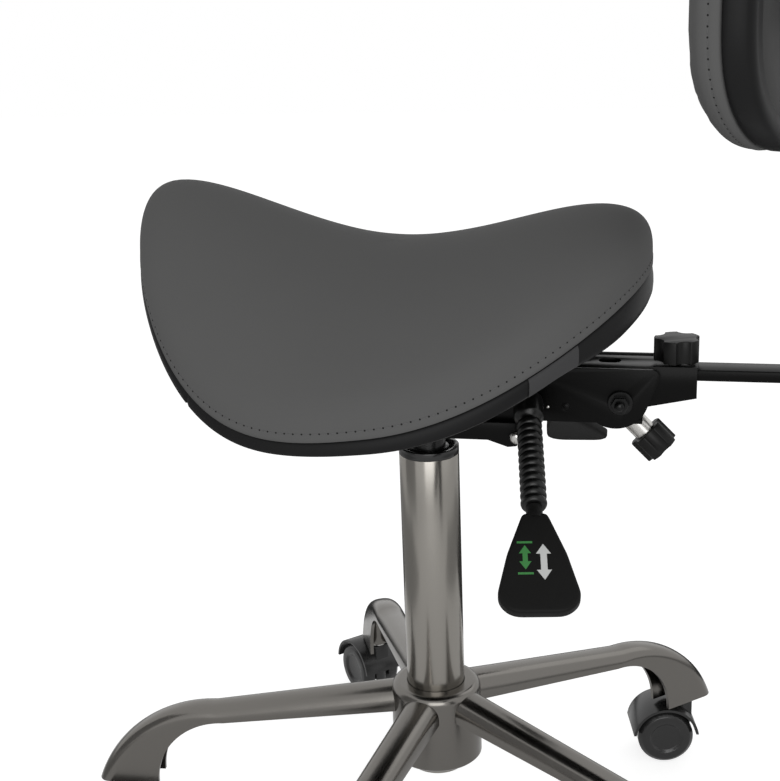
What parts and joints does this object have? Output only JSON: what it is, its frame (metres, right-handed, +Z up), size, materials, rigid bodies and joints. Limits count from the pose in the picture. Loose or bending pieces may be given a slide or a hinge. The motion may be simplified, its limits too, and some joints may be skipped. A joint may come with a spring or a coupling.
{
  "type": "saddle stool with backrest",
  "caption": "Saddle stool on a castor base with a gas lift, a tilting saddle seat, lever-worked mechanism with ribbed boots and an adjustable backrest.",
  "frame": {"origin": "on the floor, on the axis of the column and the gas lift", "axes": "+Z up along the lift, +X from the column to the backrest, +Y to the sitter's left"},
  "size_m": [0.6837, 0.6409, 0.8392],
  "materials": {
    "polished_alloy": "polished",
    "column_chrome": "polished",
    "bright_steel": "satin",
    "black_steel": "satin",
    "black_plastic": "matte",
    "black_rubber": "matte",
    "grey_cover": "matte",
    "black_cover": "satin",
    "woven_tag": "matte",
    "castor_tread": "gloss"
  },
  "bodies": {
    "base": {"star_base": "polished_alloy", "column_tube": "column_chrome", "guide_bush": "black_plastic", "thrust_bearing": "bright_steel"},
    "lift_rod_body": {"piston_rod": "bright_steel", "rod_clip": "bright_steel"},
    "support": {"gas_cylinder": "black_steel", "mech_housing": "black_steel", "mech_channel": "black_steel", "tension_sleeve": "bright_steel", "pivot_bolt": "black_steel", "tilt_pin": "bright_steel"},
    "button": {"release_button": "bright_steel"},
    "lift_lever": {"lift_rod": "bright_steel", "lift_boot": "black_rubber", "lift_paddle": "black_plastic"},
    "tilt_lever": {"tilt_rod": "bright_steel", "tilt_boot": "black_rubber", "tilt_paddle": "black_plastic"},
    "recline_lever": {"recline_rod": "bright_steel", "recline_boot": "black_rubber", "recline_paddle": "black_plastic"},
    "tension": {"tension_knob": "black_plastic"},
    "seat": {"seat_bracket": "black_steel", "seat_screws": "bright_steel", "seat_pan": "black_plastic", "seat_cushion": "grey_cover", "seat_band": "black_cover", "seat_tag": "woven_tag"},
    "carrier": {"bar_carrier": "black_steel"},
    "depth_clamp": {"depth_knob": "black_plastic"},
    "bar": {"back_bar": "black_steel", "bar_cap": "black_plastic"},
    "slider": {"back_slider": "black_plastic", "back_hinge_pin": "bright_steel"},
    "height_clamp": {"height_knob": "black_plastic"},
    "back": {"back_plate": "black_steel", "back_pan": "black_plastic", "back_cushion": "grey_cover", "back_band": "black_cover"},
    "castor_1": {"castor_hood_1": "black_plastic", "castor_stem_1": "bright_steel"},
    "wheels_1": {"castor_wheels_1": "castor_tread"},
    "castor_2": {"castor_hood_2": "black_plastic", "castor_stem_2": "bright_steel"},
    "wheels_2": {"castor_wheels_2": "castor_tread"},
    "castor_3": {"castor_hood_3": "black_plastic", "castor_stem_3": "bright_steel"},
    "wheels_3": {"castor_wheels_3": "castor_tread"},
    "castor_4": {"castor_hood_4": "black_plastic", "castor_stem_4": "bright_steel"},
    "wheels_4": {"castor_wheels_4": "castor_tread"},
    "castor_5": {"castor_hood_5": "black_plastic", "castor_stem_5": "bright_steel"},
    "wheels_5": {"castor_wheels_5": "castor_tread"}
  },
  "joints": [
    {"name": "seat_swivel", "type": "hinge", "parent": "base", "child": "lift_rod_body", "pos_m": [0, 0, 0.1], "axis": [0, 0, 1], "continuous": true},
    {"name": "height_lift", "type": "slide", "parent": "lift_rod_body", "child": "support", "axis": [0, 0, 1], "range_m": [0, 0.18]},
    {"name": "release_press", "type": "slide", "parent": "support", "child": "button", "axis": [0, 0, -1], "range_m": [0, 0.003]},
    {"name": "lift_lever_raise", "type": "hinge", "parent": "support", "child": "lift_lever", "pos_m": [0.084, -0.016, 0.447], "axis": [-1, 0, 0], "range_deg": [0, 8], "stiffness_Nm_per_rad": 2, "springref_deg": -14.32},
    {"name": "tilt_lever_raise", "type": "hinge", "parent": "support", "child": "tilt_lever", "pos_m": [-0.0355, 0.016, 0.447], "axis": [1, 0, 0], "range_deg": [0, 8], "stiffness_Nm_per_rad": 2, "springref_deg": -14.32},
    {"name": "recline_lever_raise", "type": "hinge", "parent": "support", "child": "recline_lever", "pos_m": [0.0775, 0.016, 0.447], "axis": [1, 0, 0], "range_deg": [0, 8], "stiffness_Nm_per_rad": 2, "springref_deg": -14.32},
    {"name": "tension_turn", "type": "hinge", "parent": "support", "child": "tension", "pos_m": [0.15187, 0, 0.42847], "axis": [-0.7009, 0, 0.7133], "range_deg": [-720, 720]},
    {"name": "seat_tilt", "type": "hinge", "parent": "support", "child": "seat", "pos_m": [-0.082, 0, 0.4495], "axis": [0, -1, 0], "range_deg": [-4, 12]},
    {"name": "back_recline", "type": "hinge", "parent": "support", "child": "carrier", "pos_m": [0.158, 0, 0.4345], "axis": [0, 1, 0], "range_deg": [-5, 15]},
    {"name": "depth_knob_turn", "type": "hinge", "parent": "carrier", "child": "depth_clamp", "pos_m": [0.2, 0, 0.4725], "axis": [0, 0, 1], "range_deg": [-720, 720]},
    {"name": "back_depth", "type": "slide", "parent": "carrier", "child": "bar", "axis": [1, 0, 0], "range_m": [-0.004, 0.05]},
    {"name": "back_height", "type": "slide", "parent": "bar", "child": "slider", "axis": [0, 0, 1], "range_m": [-0.08, 0.05]},
    {"name": "height_knob_turn", "type": "hinge", "parent": "slider", "child": "height_clamp", "pos_m": [0.36, 0, 0.7355], "axis": [1, 0, 0], "range_deg": [-720, 720]},
    {"name": "back_pivot", "type": "hinge", "parent": "slider", "child": "back", "pos_m": [0.318, 0, 0.7355], "axis": [0, 1, 0], "range_deg": [-12, 12]},
    {"name": "castor_swivel_1", "type": "hinge", "parent": "base", "child": "castor_1", "pos_m": [0.21055, 0.18958, 0.06], "axis": [0, 0, 1], "continuous": true},
    {"name": "wheel_roll_1", "type": "hinge", "parent": "castor_1", "child": "wheels_1", "pos_m": [0.19197, 0.18563, 0.027], "axis": [0.2079, -0.9781, 0], "continuous": true},
    {"name": "castor_swivel_2", "type": "hinge", "parent": "base", "child": "castor_2", "pos_m": [-0.11524, 0.25883, 0.06], "axis": [0, 0, 1], "continuous": true},
    {"name": "wheel_roll_2", "type": "hinge", "parent": "castor_2", "child": "wheels_2", "pos_m": [-0.12844, 0.2725, 0.027], "axis": [-0.7193, -0.6947, 0], "continuous": true},
    {"name": "castor_swivel_3", "type": "hinge", "parent": "base", "child": "castor_3", "pos_m": [-0.28178, -0.02962, 0.06], "axis": [0, 0, 1], "continuous": true},
    {"name": "wheel_roll_3", "type": "hinge", "parent": "castor_3", "child": "wheels_3", "pos_m": [-0.27815, -0.04827, 0.027], "axis": [0.9816, 0.1908, 0], "continuous": true},
    {"name": "castor_swivel_4", "type": "hinge", "parent": "base", "child": "castor_4", "pos_m": [-0.05891, -0.27714, 0.06], "axis": [0, 0, 1], "continuous": true},
    {"name": "wheel_roll_4", "type": "hinge", "parent": "castor_4", "child": "wheels_4", "pos_m": [-0.07162, -0.29126, 0.027], "axis": [0.7431, -0.6691, 0], "continuous": true},
    {"name": "castor_swivel_5", "type": "hinge", "parent": "base", "child": "castor_5", "pos_m": [0.24537, -0.14167, 0.06], "axis": [0, 0, 1], "continuous": true},
    {"name": "wheel_roll_5", "type": "hinge", "parent": "castor_5", "child": "wheels_5", "pos_m": [0.26408, -0.14496, 0.027], "axis": [0.1736, 0.9848, 0], "continuous": true}
  ],
  "couplings": [
    {"joint": "release_press", "follows": "lift_lever_raise", "m_per_rad": 0.016}
  ]
}
